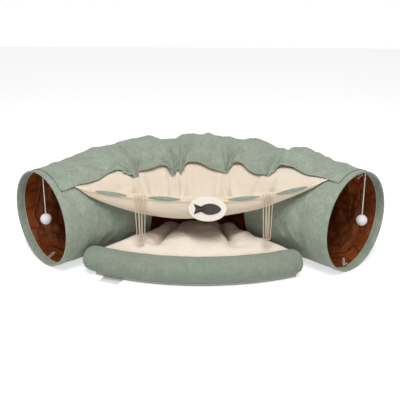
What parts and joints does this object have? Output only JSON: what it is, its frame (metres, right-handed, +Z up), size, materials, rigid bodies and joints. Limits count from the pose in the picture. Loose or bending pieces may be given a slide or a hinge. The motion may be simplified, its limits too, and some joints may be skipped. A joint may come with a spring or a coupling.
{
  "type": "cat tunnel bed",
  "caption": "Bent cloth cat tunnel with an open front, seat cushion and bolster, slung hammock, hanging toys and push-in hooped mouths",
  "frame": {"origin": "on the floor, midway between the centres of the two mouths", "axes": "+Z up; -Y is the open front; +X towards the mouth on the right as seen from the front"},
  "size_m": [1.1337, 0.5986, 0.3356],
  "materials": {
    "sage_cloth": "woven cotton canvas, matt",
    "brown_lining": "crinkled smooth lining",
    "cream_cloth": "woven cotton canvas, matt",
    "cushion_cloth": "soft brushed cotton, padded",
    "pad_cloth": "plain pad cover",
    "label_tape_cloth": "smooth tape",
    "spring_steel": "drawn wire",
    "elastic_band": "knitted elastic",
    "white_cord": "braided cord",
    "white_felt": "plush felt",
    "cream_cord": "twisted cotton cord",
    "badge_cloth": "felt",
    "dark_felt": "felt",
    "toggle_wood": "turned, waxed"
  },
  "bodies": {
    "bed": {"badge_fish": "dark_felt", "badge_patch": "badge_cloth", "bolster": "sage_cloth", "care_label": "label_tape_cloth", "gathered_hem": "sage_cloth", "hammock_band": "cream_cloth", "hammock_sling": "cream_cloth", "hem_elastic": "elastic_band", "left_inner_hoop": "spring_steel", "left_inner_hoop_casing": "brown_lining", "left_inner_inset": "sage_cloth", "left_outer_inset": "sage_cloth", "left_sleeve_flap": "sage_cloth", "left_sleeve_lining": "brown_lining", "left_sleeve_shell": "sage_cloth", "mat_base": "pad_cloth", "middle_canopy": "sage_cloth", "middle_lining": "brown_lining", "middle_shell": "sage_cloth", "right_inner_hoop": "spring_steel", "right_inner_hoop_casing": "brown_lining", "right_inner_inset": "sage_cloth", "right_outer_inset": "sage_cloth", "right_sleeve_flap": "sage_cloth", "right_sleeve_lining": "brown_lining", "right_sleeve_shell": "sage_cloth", "seat_cushion": "cushion_cloth"},
    "left_mouth": {"left_mouth_hem": "sage_cloth", "left_mouth_hoop": "spring_steel", "left_bottom_tie": "white_cord"},
    "right_mouth": {"right_mouth_hem": "sage_cloth", "right_mouth_hoop": "spring_steel", "right_bottom_tie": "white_cord", "right_bottom_toggle": "toggle_wood", "right_top_tie": "white_cord", "right_top_toggle": "toggle_wood"},
    "left_toy_hanger": {"left_toy_tab": "white_cord"},
    "right_toy_hanger": {"right_toy_tab": "white_cord"},
    "left_toy": {"left_toy_cord": "white_cord", "left_toy_ball": "white_felt"},
    "right_toy": {"right_toy_cord": "white_cord", "right_toy_ball": "white_felt"},
    "left_tassel": {"left_tassel_loop_1": "cream_cord", "left_tassel_loop_2": "cream_cord", "left_tassel_loop_3": "cream_cord"},
    "right_tassel": {"right_tassel_loop_1": "cream_cord", "right_tassel_loop_2": "cream_cord", "right_tassel_loop_3": "cream_cord"}
  },
  "joints": [
    {"name": "left_mouth_push_in", "type": "slide", "parent": "bed", "child": "left_mouth", "axis": [0.7314, 0.682, 0], "range_m": [0, 0.16], "stiffness_N_per_m": 60, "deforming": ["left_sleeve_shell", "left_sleeve_lining", "left_sleeve_flap"]},
    {"name": "left_toy_sway", "type": "hinge", "parent": "left_mouth", "child": "left_toy_hanger", "pos_m": [-0.44355, -0.00654, 0.28023], "axis": [-0.7314, -0.682, 0], "range_deg": [-35, 35]},
    {"name": "left_toy_swing", "type": "hinge", "parent": "left_toy_hanger", "child": "left_toy", "pos_m": [-0.44355, -0.00654, 0.27233], "axis": [-0.682, 0.7314, 0], "range_deg": [-60, 60]},
    {"name": "left_tassel_swing", "type": "hinge", "parent": "bed", "child": "left_tassel", "pos_m": [-0.15625, -0.05551, 0.24225], "axis": [-0.9976, 0.0697, 0], "range_deg": [0, 60]},
    {"name": "right_mouth_push_in", "type": "slide", "parent": "bed", "child": "right_mouth", "axis": [-0.7314, 0.682, 0], "range_m": [0, 0.16], "stiffness_N_per_m": 60, "deforming": ["right_sleeve_shell", "right_sleeve_lining", "right_sleeve_flap"]},
    {"name": "right_toy_sway", "type": "hinge", "parent": "right_mouth", "child": "right_toy_hanger", "pos_m": [0.48472, 0.0376, 0.28675], "axis": [0.7314, -0.682, 0], "range_deg": [-40, 30]},
    {"name": "right_toy_swing", "type": "hinge", "parent": "right_toy_hanger", "child": "right_toy", "pos_m": [0.48472, 0.0376, 0.27885], "axis": [0.682, 0.7314, 0], "range_deg": [-60, 60]},
    {"name": "right_tassel_swing", "type": "hinge", "parent": "bed", "child": "right_tassel", "pos_m": [0.20245, -0.05003, 0.25029], "axis": [-0.9922, -0.1244, 0], "range_deg": [0, 60]}
  ]
}
